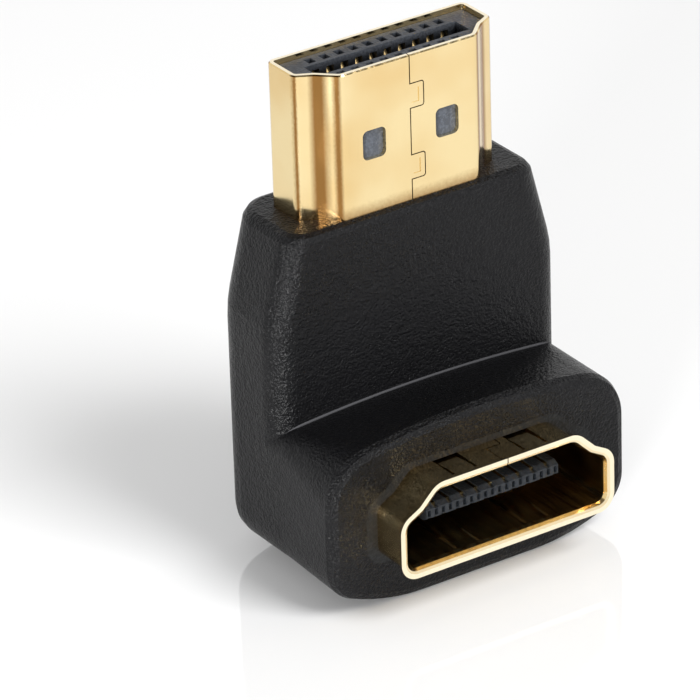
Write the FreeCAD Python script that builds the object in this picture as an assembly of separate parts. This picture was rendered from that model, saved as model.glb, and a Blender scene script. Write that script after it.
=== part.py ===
import FreeCAD, Part
import math
import os

# Right angle adapter for a type A digital video connector with 19 contacts.
# Sizes are in millimetres. X runs along the width of the connectors, the socket
# faces -Y, the plug points to +Z, and z = 0 is the floor under the body.

# Driving sizes of the connector family
PLUG_WIDTH = 13.9
PLUG_HEIGHT = 4.45
SHEET = 0.3
CONTACT_COUNT = 19
CONTACT_END_WALL = 2.45
SOCKET_PLAY = 0.05

# Driving sizes of the whole adapter
OVERALL_DEPTH = 15.3
BODY_HEIGHT = 21.9
PLUG_LENGTH = 9.15
PLUG_TO_BACK = 3.95
SOCKET_HEIGHT = 5.9
SOCKET_REACH = 2.85

# Clearances
HOUSING_PLAY = 0.02
CHANNEL_PLAY = 0.07
GROOVE_PLAY = 0.01
LEG_PLAY = 0.1
TAIL_PLAY = 0.4

# Places that follow from the driving sizes
BACK_Y = OVERALL_DEPTH / 2
MOUTH_Y = -OVERALL_DEPTH / 2
PLUG_Y = BACK_Y - PLUG_TO_BACK
FACE_Y = MOUTH_Y + SOCKET_REACH
TIP_Z = BODY_HEIGHT + PLUG_LENGTH

# Connector section: a flat wide side, upright sides, a sloping ledge on each
# side, a slope, and a flat narrow side
SIDE_RISE = 0.55
LEDGE_WIDTH = 1.1
LEDGE_RISE = 1.15
NARROW_INSET = 2.2
WIDE_CORNER_RADIUS = 0.5
SIDE_CORNER_RADIUS = 0.55
LEDGE_RADIUS = 0.9
NARROW_CORNER_RADIUS = 0.7
LEAST_RADIUS = 0.08

# Pieces that are joined run this far into each other before they are fused,
# and cutting shapes run this far past what they cut
OVERLAP = 0.1
PAST = 1.0

# Upper leg of the body
LEG_FRONT_WALL = 0.475
LEG_SIDE_WALL = 3.2
TOP_SIDE_WALL = 1.75
TAPER_HEIGHT = 5.6
TAPER_SOFTENING = 0.9
LEG_FRONT_RADIUS = 1.5
BACK_ROUND = 2.3
TOP_ROUND = 0.5

# Lower leg of the body
FACE_SIDE_WALL = 3.6
FACE_ABOVE_SOCKET = 5.2
CREASE_ABOVE_SOCKET = 4.48
FACE_CROWN_RADIUS = 48.0
CREASE_CROWN_RADIUS = 100.0
FACE_CORNER_RADIUS = 3.3
CREASE_CORNER_RADIUS = 1.6
BOTTOM_FLAT = 4.0
BOTTOM_CROWN_RADIUS = 13.0
LOWER_CORNER_RADIUS = 2.5
FACE_ROUND = 0.55
SMALL_ROUND_STEPS = 2
BACK_ROUND_STEPS = 5

# Circuit board
BOARD_THICKNESS = 1.0
BOARD_BELOW_SOCKET = 3.8
BOARD_STEP_ABOVE_SOCKET = 3.7
BOARD_SIDE_REACH = 1.35
BOARD_CORNER = 0.5

# Plug
PLUG_REAR_DEPTH = 2.6
TIP_RECESS = 0.35
TIP_CHAMFER = 0.08
PLUG_LEG_LENGTH = 3.0
PLUG_LEG_HALF_WIDTH = 1.0
SLOT_HALF_HEIGHT = 0.7
SLOT_END_SPACE = 0.8
SLOT_DEPTH = 7.4
WINDOW_WIDTH = 1.6
WINDOW_HEIGHT = 1.85
WINDOW_RADIUS = 0.35
WINDOW_OFFSET = 2.55
WINDOW_ABOVE_BODY = 4.3
SEAM_WIDTH = 0.07
TAB_WIDTH = 0.95
TAB_HEIGHT = 1.55
TAB_RADIUS = 0.2
TAB_ABOVE_BODY = (1.3, 5.8)
MARK_WIDTH = 0.5
MARK_HEIGHT = 0.9
MARK_DEPTH = 0.05
MARK_INSET = 0.12

# Plug contacts
PLUG_CONTACT_WIDTH = 0.36
PLUG_CONTACT_THICKNESS = 0.2
ROW_INSET = 0.725
BUMP_CENTRE = 0.62
TIP_CENTRE = 1.25
BUMP_BELOW_TIP = 1.75
CONTACT_TIP_BELOW = 0.6
TAIL_LENGTH = 2.9
TAIL_BEND_START = 0.3
TAIL_BEND_END = 1.7
ROOT_ABOVE_SLOT = 0.6
BAR_THICKNESS = 0.35
PIN_WINDOW_INSET = 0.52
BUMP_RADIUS = 0.4

# Socket
SOCKET_REAR_GAP = 0.6
LIP_GROWTH = 0.3
LIP_LENGTH = 0.6
LIP_STEPS = 3
HOUSING_BLOCK_DEPTH = 1.43
TONGUE_SETBACK = 1.6
TONGUE_END_SPACE = 0.2
TONGUE_HALF_HEIGHT = 0.5
NOSE_LENGTH = 0.35
NOSE_DROP = 0.2
POCKET_WIDTH = 0.22
POCKET_HALF_HEIGHT = 0.2
POCKET_DEPTH = 0.25
FINGER_OFFSET = 2.5
FINGER_WIDTH = 1.4
FINGER_SLOT = 0.18
FINGER_SETBACK = 0.75
FINGER_LENGTH = 4.6
FINGER_DIP = 0.25
FINGER_ROOT_LENGTH = 0.7
FINGER_DIP_PLACE = 3.2
FINGER_TIP_RISE = 0.15
FINGER_RADIUS = 0.6
SOCKET_TAB_SETBACK = 2.2
SOCKET_TAB_WIDTH = 1.05
SOCKET_TAB_LENGTH = 2.0
SOCKET_LEG_LENGTH = 2.3
SIDE_LEG_LOW = -1.7
SIDE_LEG_HIGH = -0.4
BOTTOM_LEG_INNER = 5.3
BOTTOM_LEG_OUTER = 6.3

# Socket contacts
SOCKET_CONTACT_WIDTH = 0.28
SOCKET_CONTACT_THICKNESS = 0.2
GROOVE_FLOOR = 0.25
CONTACT_NOSE_SETBACK = 0.35
FOOT_REACH = 3.45

# Inner mould
COLLAR_GROWTH = 0.75
COLLAR_EXTRA_WIDTH = 0.35
BLOCK_FRONT = 1.45
BLOCK_BACK = 2.4
BLOCK_LOWER_WALL = 1.75
BLOCK_UPPER_WALL = 0.75
BLOCK_MARGIN = 0.7
BLOCK_TOP_DROP = 2.9
BLOCK_RADIUS = 0.6

# Half widths and heights of the body
LEG_HALF_WIDTH = PLUG_WIDTH / 2 + LEG_SIDE_WALL
TOP_HALF_WIDTH = PLUG_WIDTH / 2 + TOP_SIDE_WALL
FACE_HALF_WIDTH = PLUG_WIDTH / 2 + FACE_SIDE_WALL
FACE_TOP = SOCKET_HEIGHT + FACE_ABOVE_SOCKET
CREASE_TOP = SOCKET_HEIGHT + CREASE_ABOVE_SOCKET
CREASE_Y = PLUG_Y - PLUG_HEIGHT / 2 - LEG_FRONT_WALL

# Heights of the board's foot and step, and where the contacts stand
BOARD_BOTTOM = SOCKET_HEIGHT - BOARD_BELOW_SOCKET
BOARD_STEP = SOCKET_HEIGHT + BOARD_STEP_ABOVE_SOCKET
ROW_CENTRE = PLUG_HEIGHT / 2 - ROW_INSET
OUTER_CONTACT_X = PLUG_WIDTH / 2 - CONTACT_END_WALL
CONTACT_SPACING = 2 * OUTER_CONTACT_X / (CONTACT_COUNT - 1)

# Heights along the plug: the rear of its shell and the front of its housing
PLUG_REAR = BODY_HEIGHT - PLUG_REAR_DEPTH
PLUG_FACE = TIP_Z - TIP_RECESS

# Stations along the socket, outwards: the board's face, the shell's rear, the mouth
BOARD_STATION = BOARD_THICKNESS / 2 - PLUG_Y
SHELL_STATION = BOARD_STATION + SOCKET_REAR_GAP
MOUTH_STATION = -MOUTH_Y


def vector(x, y, z=0.0):
    return FreeCAD.Vector(x, y, z)


def box(x0, x1, y0, y1, z0, z1):
    """Box between two corners."""
    return Part.makeBox(x1 - x0, y1 - y0, z1 - z0, vector(x0, y0, z0))


def fused(shapes):
    """One solid from touching shapes."""
    return shapes[0].multiFuse(shapes[1:]).removeSplitter()


def moved_sides(points, distance):
    """Closed anticlockwise outline with every side moved outwards by a distance."""
    result = []
    for i, corner in enumerate(points):
        along = (corner - points[i - 1]).normalize()
        onward = (points[(i + 1) % len(points)] - corner).normalize()
        first = vector(along.y, -along.x)
        second = vector(onward.y, -onward.x)
        mitre = (first + second) * (distance / (1 + first.dot(second)))
        result.append(corner + mitre)
    return result


def rounded_wire(points, radii):
    """Closed outline through the points with each corner rounded by its radius."""
    starts, middles, ends = [], [], []
    for i, corner in enumerate(points):
        back = (points[i - 1] - corner).normalize()
        onward = (points[(i + 1) % len(points)] - corner).normalize()
        half = back.getAngle(onward) / 2
        cut = radii[i] / math.tan(half)
        starts.append(corner + back * cut)
        ends.append(corner + onward * cut)
        inwards = (back + onward).normalize()
        middles.append(corner + inwards * (radii[i] / math.sin(half) - radii[i]))
    edges = []
    for i in range(len(points)):
        edges.append(Part.makeLine(ends[i - 1], starts[i]))
        if radii[i] > 0:
            edges.append(Part.Arc(starts[i], middles[i], ends[i]).toShape())
    return Part.Wire(edges)


def rounded_rectangle(x0, x1, y0, y1, radius):
    """Rectangle outline with four equal rounded corners."""
    points = [vector(x0, y0), vector(x1, y0), vector(x1, y1), vector(x0, y1)]
    return rounded_wire(points, [radius] * 4)


def prism(wire, z0, z1):
    """Solid over an outline in the XY plane."""
    face = Part.Face(wire)
    face.translate(vector(0, 0, z0))
    return face.extrude(vector(0, 0, z1 - z0))


def section_wire(growth, extra_width=0.0):
    """Connector section grown outwards; the wide side is at -Y, the narrow at +Y."""
    half_width = PLUG_WIDTH / 2 + extra_width
    half_height = PLUG_HEIGHT / 2
    right = [
        vector(half_width, -half_height),
        vector(half_width, SIDE_RISE),
        vector(half_width - LEDGE_WIDTH, LEDGE_RISE),
        vector(half_width - NARROW_INSET, half_height),
    ]
    left = [vector(-point.x, point.y) for point in reversed(right)]
    side_radii = [
        WIDE_CORNER_RADIUS + growth,
        SIDE_CORNER_RADIUS + growth,
        LEDGE_RADIUS - growth,
        NARROW_CORNER_RADIUS + growth,
    ]
    radii = [max(radius, LEAST_RADIUS) for radius in side_radii]
    return rounded_wire(moved_sides(right + left, growth), radii + radii[::-1])


def section_prism(growth, z0, z1, extra_width=0.0):
    """Solid of the connector section between two stations."""
    return prism(section_wire(growth, extra_width), z0, z1)


def to_plug(shape):
    """Turn a shape drawn in the connector's own frame to the plug's place."""
    shape.rotate(vector(0, 0, 0), vector(0, 0, 1), 180)
    shape.translate(vector(0, PLUG_Y, 0))
    return shape


def to_socket(shape):
    """Turn a shape drawn in the connector's own frame to the socket's place."""
    shape.rotate(vector(0, 0, 0), vector(1, 0, 0), 90)
    shape.translate(vector(0, 0, SOCKET_HEIGHT))
    return shape


def strip(path, radii, thickness, x, width):
    """Bent strip of sheet; the path is a list of (y, z) points on its middle line."""
    line = [vector(y, z) for y, z in path]
    sides = {1: [], -1: []}
    for i, point in enumerate(line):
        along = (point - line[i - 1]).normalize() if i > 0 else None
        onward = (line[i + 1] - point).normalize() if i < len(line) - 1 else along
        along = along or onward
        first = vector(-along.y, along.x)
        second = vector(-onward.y, onward.x)
        mitre = (first + second) / (1 + first.dot(second))
        turn = along.x * onward.y - along.y * onward.x
        for side in (1, -1):
            radius = radii[i]
            if radius > 0:
                radius += (-side if turn > 0 else side) * thickness / 2
            sides[side].append((point + mitre * (side * thickness / 2), radius))
    outline = sides[-1] + sides[1][::-1]
    wire = rounded_wire([point for point, radius in outline],
                        [radius for point, radius in outline])
    solid = prism(wire, x - width / 2, x + width / 2)
    # Carry the drawing's x and y to Y and Z, and its z to X.
    solid.rotate(vector(0, 0, 0), vector(1, 1, 1), 120)
    return solid


def contact_place(number):
    """X position of a contact, and whether it is in the wide row."""
    x = (number - (CONTACT_COUNT + 1) / 2) * CONTACT_SPACING
    return x, number % 2 == 1


def crown_corner(half_width, corner_radius, crown_radius, flat):
    """Points of a crowned side and its corner, as (x, height above the side's middle)."""
    run = half_width - corner_radius - flat
    drop = math.sqrt((crown_radius - corner_radius) ** 2 - run ** 2)
    rise = crown_radius - drop
    lean = math.atan2(run, drop)
    centre_x = half_width - corner_radius
    tangent = (centre_x + corner_radius * math.sin(lean),
               rise - corner_radius * math.cos(lean))
    half_turn = (lean + math.pi / 2) / 2
    middle = (centre_x + corner_radius * math.sin(half_turn),
              rise - corner_radius * math.cos(half_turn))
    crown_middle = (flat + crown_radius * math.sin(lean / 2),
                    crown_radius - crown_radius * math.cos(lean / 2))
    return crown_middle, tangent, middle, (half_width, rise)


def leg_section(y, half_width, top, crown_radius, corner_radius, inset):
    """Crowned outline of the lower leg at a station along Y."""
    half_width = half_width - inset
    low_radius = LOWER_CORNER_RADIUS - inset
    high_radius = max(corner_radius - inset, LEAST_RADIUS)
    low = crown_corner(half_width, low_radius, BOTTOM_CROWN_RADIUS - inset, BOTTOM_FLAT)
    high = crown_corner(half_width, high_radius, crown_radius - inset, 0.0)

    def place(side, point, upper):
        z = top - inset - point[1] if upper else inset + point[1]
        return vector(side * point[0], y, z)

    def arc(a, b, c):
        return Part.Arc(a, b, c).toShape()

    edges = [Part.makeLine(vector(-BOTTOM_FLAT, y, inset), vector(BOTTOM_FLAT, y, inset))]
    bottom = [place(1, point, False) for point in low]
    above = [place(1, point, True) for point in high]
    far_bottom = [place(-1, point, False) for point in low]
    far_above = [place(-1, point, True) for point in high]
    edges.append(arc(vector(BOTTOM_FLAT, y, inset), bottom[0], bottom[1]))
    edges.append(arc(bottom[1], bottom[2], bottom[3]))
    edges.append(Part.makeLine(bottom[3], above[3]))
    edges.append(arc(above[3], above[2], above[1]))
    edges.append(arc(above[1], vector(0, y, top - inset), far_above[1]))
    edges.append(arc(far_above[1], far_above[2], far_above[3]))
    edges.append(Part.makeLine(far_above[3], far_bottom[3]))
    edges.append(arc(far_bottom[3], far_bottom[2], far_bottom[1]))
    edges.append(arc(far_bottom[1], far_bottom[0], vector(-BOTTOM_FLAT, y, inset)))
    return Part.Wire(edges)


def round_steps(size, steps):
    """Pairs (distance from the end, inset) along a quarter round."""
    pairs = []
    for i in range(1, steps + 1):
        angle = math.pi / 2 * i / steps
        pairs.append((size * (1 - math.sin(angle)), size * (1 - math.cos(angle))))
    return pairs


def back_section(y, inset):
    """Outline of the lower leg at and behind the crease."""
    return leg_section(y, LEG_HALF_WIDTH, CREASE_TOP, CREASE_CROWN_RADIUS,
                       CREASE_CORNER_RADIUS, inset)


def face_section(y, inset):
    """Outline of the lower leg at the front face."""
    return leg_section(y, FACE_HALF_WIDTH, FACE_TOP, FACE_CROWN_RADIUS,
                       FACE_CORNER_RADIUS, inset)


def lower_leg():
    """Lower leg: round at the back, straight to the crease, then lofted to the face."""
    wires = []
    for distance, inset in reversed(round_steps(BACK_ROUND, BACK_ROUND_STEPS)):
        wires.append(back_section(BACK_Y - distance, inset))
    wires.append(back_section(BACK_Y - BACK_ROUND, 0.0))
    wires.append(back_section(CREASE_Y, 0.0))
    wires.append(face_section(FACE_Y + FACE_ROUND, 0.0))
    for distance, inset in round_steps(FACE_ROUND, SMALL_ROUND_STEPS):
        wires.append(face_section(FACE_Y + distance, inset))
    return Part.makeLoft(wires, True, True)


def leg_plan(z, half_width, inset):
    """Outline of the upper leg seen from above, at a height."""
    front = CREASE_Y + inset
    back = BACK_Y - inset
    side = half_width - inset
    points = [vector(-side, front), vector(side, front), vector(side, back), vector(-side, back)]
    front_radius = LEG_FRONT_RADIUS - inset
    back_radius = BACK_ROUND - inset
    wire = rounded_wire(points, [front_radius, front_radius, back_radius, back_radius])
    wire.translate(vector(0, 0, z))
    return wire


def upper_leg():
    """Upper leg: upright, then tapering on both sides up to the top face."""
    taper_z = BODY_HEIGHT - TAPER_HEIGHT
    slope = (LEG_HALF_WIDTH - TOP_HALF_WIDTH) / TAPER_HEIGHT
    wires = [
        leg_plan(0, LEG_HALF_WIDTH, 0.0),
        leg_plan(taper_z - TAPER_SOFTENING, LEG_HALF_WIDTH, 0.0),
        leg_plan(taper_z, LEG_HALF_WIDTH - slope * TAPER_SOFTENING / 4, 0.0),
        leg_plan(taper_z + TAPER_SOFTENING, LEG_HALF_WIDTH - slope * TAPER_SOFTENING, 0.0),
        leg_plan(BODY_HEIGHT - TOP_ROUND, TOP_HALF_WIDTH + slope * TOP_ROUND, 0.0),
    ]
    for distance, inset in round_steps(TOP_ROUND, SMALL_ROUND_STEPS):
        wires.append(leg_plan(BODY_HEIGHT - distance, TOP_HALF_WIDTH, inset))
    return Part.makeLoft(wires, True, True)


def body_outside():
    """Whole outside of the moulded body, without its hollows."""
    side = LEG_HALF_WIDTH + PAST
    foot = box(-side, side, MOUTH_Y, BACK_Y + PAST, -PAST, SOCKET_HEIGHT)
    upper = upper_leg().cut(foot)
    return lower_leg().fuse(upper).removeSplitter()


def board_outline():
    """Outline of the board in X and Z: a narrow upper part on a wide lower part."""
    top = PLUG_REAR
    narrow = PLUG_WIDTH / 2 - SHEET
    wide = PLUG_WIDTH / 2 + BOARD_SIDE_REACH
    low = BOARD_BOTTOM
    step = BOARD_STEP
    points = [vector(-wide, low), vector(wide, low), vector(wide, step), vector(narrow, step),
              vector(narrow, top), vector(-narrow, top), vector(-narrow, step), vector(-wide, step)]
    corner = BOARD_CORNER
    return rounded_wire(points, [corner, corner, corner, 0, corner, corner, 0, corner])


def board_blank():
    """Board without its leg slots."""
    blank = prism(board_outline(), -BOARD_THICKNESS / 2, BOARD_THICKNESS / 2)
    blank.rotate(vector(0, 0, 0), vector(1, 0, 0), 90)
    blank.translate(vector(0, PLUG_Y, 0))
    return blank


def socket_legs(play=0.0):
    """The shell's four legs, drawn in the connector's own frame."""
    tip = BOARD_STATION - SOCKET_LEG_LENGTH
    root = SHELL_STATION
    inner = PLUG_WIDTH / 2 + SOCKET_PLAY
    wall = -(PLUG_HEIGHT / 2 + SOCKET_PLAY)
    shapes = []
    for side in (-1, 1):
        edges = sorted((side * (inner - play), side * (inner + SHEET + play)))
        shapes.append(box(edges[0], edges[1], SIDE_LEG_LOW - play, SIDE_LEG_HIGH + play, tip, root))
        edges = sorted((side * (BOTTOM_LEG_INNER - play), side * (BOTTOM_LEG_OUTER + play)))
        shapes.append(box(edges[0], edges[1], wall - SHEET - play, wall + play, tip, root))
    return shapes


def circuit_board():
    """Board with a slot for each leg of the socket's shell."""
    slots = [to_socket(leg) for leg in socket_legs(LEG_PLAY)]
    return board_blank().cut(Part.makeCompound(slots))


def tab_outline(near, far, low, high, radius):
    """Outline of a tab: square on the seam's side and round at its far corners."""
    points = [vector(near, low), vector(far, low), vector(far, high), vector(near, high)]
    radii = [0, radius, radius, 0]
    if far < near:
        return rounded_wire(points[::-1], radii[::-1])
    return rounded_wire(points, radii)


def seam_slit(x, z0, z1, tabs, tab_width, y0, y1):
    """Thin slit along Z at x that steps round each tab; y0 and y1 bound the wall."""
    half = SEAM_WIDTH / 2
    side = 1 if tab_width > 0 else -1
    runs = [z0] + [z for tab in tabs for z in tab] + [z1]
    pieces = []
    for low, high in zip(runs[::2], runs[1::2]):
        if high - low > SEAM_WIDTH:
            pieces.append(box(x - half, x + half, y0, y1, low - half, high + half))
    for low, high in tabs:
        outer = tab_outline(x - side * half, x + tab_width + side * half,
                            low - half, high + half, TAB_RADIUS)
        inner = tab_outline(x - side * PAST, x + tab_width - side * half,
                            low + half, high - half, TAB_RADIUS - SEAM_WIDTH)
        ring = prism(outer, y0, y1).cut(prism(inner, y0, y1))
        ring.rotate(vector(0, 0, 0), vector(1, 0, 0), 90)
        ring.translate(vector(0, y0 + y1, 0))
        pieces.append(ring)
    return pieces


def plug_shell():
    """Stamped sleeve of the plug with its windows, seam, tabs and side legs."""
    rear = PLUG_REAR
    tube = section_prism(0.0, rear, TIP_Z)
    tip = Part.makeLoft([
        section_wire(0.0).translated(vector(0, 0, TIP_Z - TIP_CHAMFER)),
        section_wire(-TIP_CHAMFER).translated(vector(0, 0, TIP_Z)),
    ], True, True)
    tube = tube.common(fused([section_prism(0.0, rear, TIP_Z - TIP_CHAMFER), tip]))
    hollow = section_prism(-SHEET, rear - PAST, TIP_Z + PAST)
    shell = tube.cut(hollow)
    half_height = PLUG_HEIGHT / 2
    cuts = []
    window_z = BODY_HEIGHT + WINDOW_ABOVE_BODY
    for side in (-1, 1):
        centre = side * WINDOW_OFFSET
        outline = rounded_rectangle(centre - WINDOW_WIDTH / 2, centre + WINDOW_WIDTH / 2,
                                    window_z - WINDOW_HEIGHT / 2, window_z + WINDOW_HEIGHT / 2,
                                    WINDOW_RADIUS)
        window = prism(outline, -half_height - PAST, half_height + PAST)
        window.rotate(vector(0, 0, 0), vector(1, 0, 0), 90)
        cuts.append(window)
    tabs = [(BODY_HEIGHT + low, BODY_HEIGHT + low + TAB_HEIGHT) for low in TAB_ABOVE_BODY]
    wall = half_height - SHEET
    cuts.extend(seam_slit(0.0, rear - PAST, TIP_Z + PAST, tabs, -TAB_WIDTH,
                          wall - OVERLAP, half_height + OVERLAP))
    for low, high in tabs:
        middle = (low + high) / 2
        cuts.append(box(-MARK_INSET - MARK_WIDTH, -MARK_INSET, half_height - MARK_DEPTH,
                        half_height + PAST, middle - MARK_HEIGHT / 2,
                        middle + MARK_HEIGHT / 2))
    shell = shell.cut(Part.makeCompound(cuts))
    half_width = PLUG_WIDTH / 2
    legs = []
    for side in (-1, 1):
        edges = sorted((side * (half_width - SHEET), side * half_width))
        legs.append(box(edges[0], edges[1], -PLUG_LEG_HALF_WIDTH, SIDE_RISE - SIDE_CORNER_RADIUS,
                        rear - PLUG_LEG_LENGTH, rear + SHEET))
    return to_plug(fused([shell] + legs))


def plug_housing():
    """Insulator of the plug with the slot, the channels and the small windows."""
    rear = PLUG_REAR
    face = PLUG_FACE
    block = section_prism(-SHEET - HOUSING_PLAY, rear, face)
    slot = OUTER_CONTACT_X + SLOT_END_SPACE
    cuts = [box(-slot, slot, -SLOT_HALF_HEIGHT, SLOT_HALF_HEIGHT,
                face - SLOT_DEPTH, face + PAST)]
    outer = ROW_CENTRE + PLUG_CONTACT_THICKNESS / 2
    narrow = ROW_CENTRE - PLUG_CONTACT_THICKNESS / 2 - CHANNEL_PLAY
    half = PLUG_CONTACT_WIDTH / 2 + CHANNEL_PLAY
    for number in range(1, CONTACT_COUNT + 1):
        x, wide_row = contact_place(number)
        side = -1 if wide_row else 1
        spans = [
            (narrow, outer, rear - PAST, face - SLOT_DEPTH),
            (0.0, outer, face - SLOT_DEPTH, face - BAR_THICKNESS),
            (ROW_CENTRE - PIN_WINDOW_INSET, outer, face - BAR_THICKNESS, face + PAST),
        ]
        for inner, far, z0, z1 in spans:
            edges = sorted((side * inner, side * far))
            cuts.append(box(x - half, x + half, edges[0], edges[1], z0, z1))
    return to_plug(block.cut(Part.makeCompound(cuts)))


def plug_contact(number):
    """Plug contact: tail on the board, straight root, bump and turned tip."""
    x, wide_row = contact_place(number)
    side = -1 if wide_row else 1
    rear = PLUG_REAR
    face = PLUG_FACE
    tail = BOARD_THICKNESS / 2 + PLUG_CONTACT_THICKNESS / 2
    path = [
        (side * tail, rear - TAIL_LENGTH),
        (side * tail, rear - TAIL_BEND_END),
        (side * ROW_CENTRE, rear - TAIL_BEND_START),
        (side * ROW_CENTRE, face - SLOT_DEPTH + ROOT_ABOVE_SLOT),
        (side * BUMP_CENTRE, face - BUMP_BELOW_TIP),
        (side * TIP_CENTRE, face - CONTACT_TIP_BELOW),
    ]
    radii = [0, 0, 0, 0, BUMP_RADIUS, 0]
    return to_plug(strip(path, radii, PLUG_CONTACT_THICKNESS, x, PLUG_CONTACT_WIDTH))


def finger(x, side):
    """Spring finger of the socket's shell, rooted at the mouth and dipping inwards."""
    wall = PLUG_HEIGHT / 2 + SOCKET_PLAY + SHEET / 2
    root = MOUTH_STATION - FINGER_SETBACK
    end = root - FINGER_LENGTH
    path = [
        (side * wall, root + OVERLAP),
        (side * wall, root - FINGER_ROOT_LENGTH),
        (side * (wall - FINGER_DIP), root - FINGER_DIP_PLACE),
        (side * (wall - FINGER_DIP + FINGER_TIP_RISE), end + FINGER_SLOT),
    ]
    return strip(path, [0, FINGER_RADIUS, FINGER_RADIUS, 0], SHEET, x, FINGER_WIDTH)


def socket_lip(growth, mouth):
    """Sections of the flared mouth for one face of the sheet."""
    wires = []
    for i in range(LIP_STEPS + 1):
        angle = math.pi / 2 * i / LIP_STEPS
        station = mouth - LIP_LENGTH * (1 - math.sin(angle))
        flare = LIP_GROWTH * (1 - math.cos(angle))
        wires.append(section_wire(growth + flare).translated(vector(0, 0, station)))
    return wires


def socket_shell():
    """Stamped shell of the socket with its flared mouth, fingers, seam and legs."""
    rear = SHELL_STATION
    mouth = MOUTH_STATION
    outer_growth = SOCKET_PLAY + SHEET
    outer_wires = [section_wire(outer_growth).translated(vector(0, 0, rear))]
    outer_wires.extend(socket_lip(outer_growth, mouth))
    inner_wires = [section_wire(SOCKET_PLAY).translated(vector(0, 0, rear - PAST))]
    inner_wires.extend(socket_lip(SOCKET_PLAY, mouth))
    wide_growth = SOCKET_PLAY + LIP_GROWTH
    inner_wires.append(section_wire(wide_growth).translated(vector(0, 0, mouth + PAST)))
    shell = Part.makeLoft(outer_wires, True, True).cut(Part.makeLoft(inner_wires, True, True))
    half_height = PLUG_HEIGHT / 2 + SOCKET_PLAY
    cuts = []
    root = mouth - FINGER_SETBACK
    half = FINGER_WIDTH / 2 + FINGER_SLOT
    places = [(side_x * FINGER_OFFSET, side) for side_x in (-1, 1) for side in (-1, 1)]
    for x, side in places:
        edges = sorted((side * (half_height - OVERLAP), side * (half_height + SHEET + OVERLAP)))
        cuts.append(box(x - half, x + half, edges[0], edges[1], root - FINGER_LENGTH, root))
    tab_end = mouth - SOCKET_TAB_SETBACK
    tabs = [(tab_end - SOCKET_TAB_LENGTH, tab_end)]
    cuts.extend(seam_slit(0.0, rear - PAST, mouth + PAST, tabs, SOCKET_TAB_WIDTH,
                          half_height - OVERLAP, half_height + SHEET + LIP_GROWTH + OVERLAP))
    shell = shell.cut(Part.makeCompound(cuts))
    inner = PLUG_WIDTH / 2 + SOCKET_PLAY
    shoulders = []
    for side in (-1, 1):
        edges = sorted((side * inner, side * (inner + SHEET)))
        shoulders.append(box(edges[0], edges[1], -PLUG_HEIGHT / 2 + WIDE_CORNER_RADIUS,
                             SIDE_RISE - SIDE_CORNER_RADIUS, BOARD_STATION, rear + SHEET))
    pieces = [shell] + shoulders + socket_legs() + [finger(x, side) for x, side in places]
    return to_socket(fused(pieces))


def socket_housing():
    """Insulator of the socket: a rear block and a grooved tongue with pockets in its nose."""
    back = BOARD_STATION + SOCKET_CONTACT_THICKNESS + HOUSING_PLAY
    front = back + HOUSING_BLOCK_DEPTH
    nose = MOUTH_STATION - TONGUE_SETBACK
    block = section_prism(SOCKET_PLAY - HOUSING_PLAY, back, front)
    high = TONGUE_HALF_HEIGHT
    thin = high - NOSE_DROP
    profile = Part.makePolygon([
        vector(-high, front - OVERLAP), vector(high, front - OVERLAP),
        vector(high, nose - NOSE_LENGTH), vector(thin, nose),
        vector(-thin, nose), vector(-high, nose - NOSE_LENGTH),
        vector(-high, front - OVERLAP),
    ])
    tongue_half_width = OUTER_CONTACT_X + TONGUE_END_SPACE
    tongue = prism(profile, -tongue_half_width, tongue_half_width)
    tongue.rotate(vector(0, 0, 0), vector(1, 1, 1), 120)
    body = fused([block, tongue])
    half = SOCKET_CONTACT_WIDTH / 2 + GROOVE_PLAY
    grooves = []
    for number in range(1, CONTACT_COUNT + 1):
        x, wide_row = contact_place(number)
        side = -1 if wide_row else 1
        edges = sorted((side * GROOVE_FLOOR, side * high))
        grooves.append(box(x - half, x + half, edges[0], edges[1], back - PAST, nose + PAST))
    pockets = []
    for number in range(1, CONTACT_COUNT + 1):
        x = contact_place(number)[0]
        pockets.append(box(x - POCKET_WIDTH / 2, x + POCKET_WIDTH / 2, -POCKET_HALF_HEIGHT,
                           POCKET_HALF_HEIGHT, nose - POCKET_DEPTH, nose + PAST))
    return to_socket(body.cut(Part.makeCompound(grooves)).cut(Part.makeCompound(pockets)))


def socket_contact(number):
    """Socket contact: flat along the tongue, then a foot turned along the board."""
    x, wide_row = contact_place(number)
    side = -1 if wide_row else 1
    nose = MOUTH_STATION - TONGUE_SETBACK - CONTACT_NOSE_SETBACK
    half = SOCKET_CONTACT_THICKNESS / 2
    height = GROOVE_FLOOR + half
    path = [
        (side * height, nose),
        (side * height, BOARD_STATION + half),
        (side * FOOT_REACH, BOARD_STATION + half),
    ]
    return to_socket(strip(path, [0, half, 0], SOCKET_CONTACT_THICKNESS, x, SOCKET_CONTACT_WIDTH))


def mould_block():
    """Outside of the inner mould: a block round the board and a sleeve to the face."""
    front = -BOARD_STATION - BLOCK_FRONT
    back = BOARD_THICKNESS - BOARD_STATION + BLOCK_BACK
    low = BOARD_BOTTOM - BLOCK_MARGIN
    step = BOARD_STEP + BLOCK_MARGIN
    top = BODY_HEIGHT - BLOCK_TOP_DROP
    wide = PLUG_WIDTH / 2 + BLOCK_LOWER_WALL
    narrow = PLUG_WIDTH / 2 + BLOCK_UPPER_WALL
    points = [vector(-wide, low), vector(wide, low), vector(wide, step), vector(narrow, step),
              vector(narrow, top), vector(-narrow, top), vector(-narrow, step), vector(-wide, step)]
    outline = rounded_wire(points, [BLOCK_RADIUS] * 3 + [0] + [BLOCK_RADIUS] * 2 + [0, BLOCK_RADIUS])
    block = prism(outline, -back, -front)
    block.rotate(vector(0, 0, 0), vector(1, 0, 0), 90)
    sleeve = to_socket(section_prism(COLLAR_GROWTH, BOARD_STATION, -FACE_Y, COLLAR_EXTRA_WIDTH))
    return fused([block, sleeve])


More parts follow.
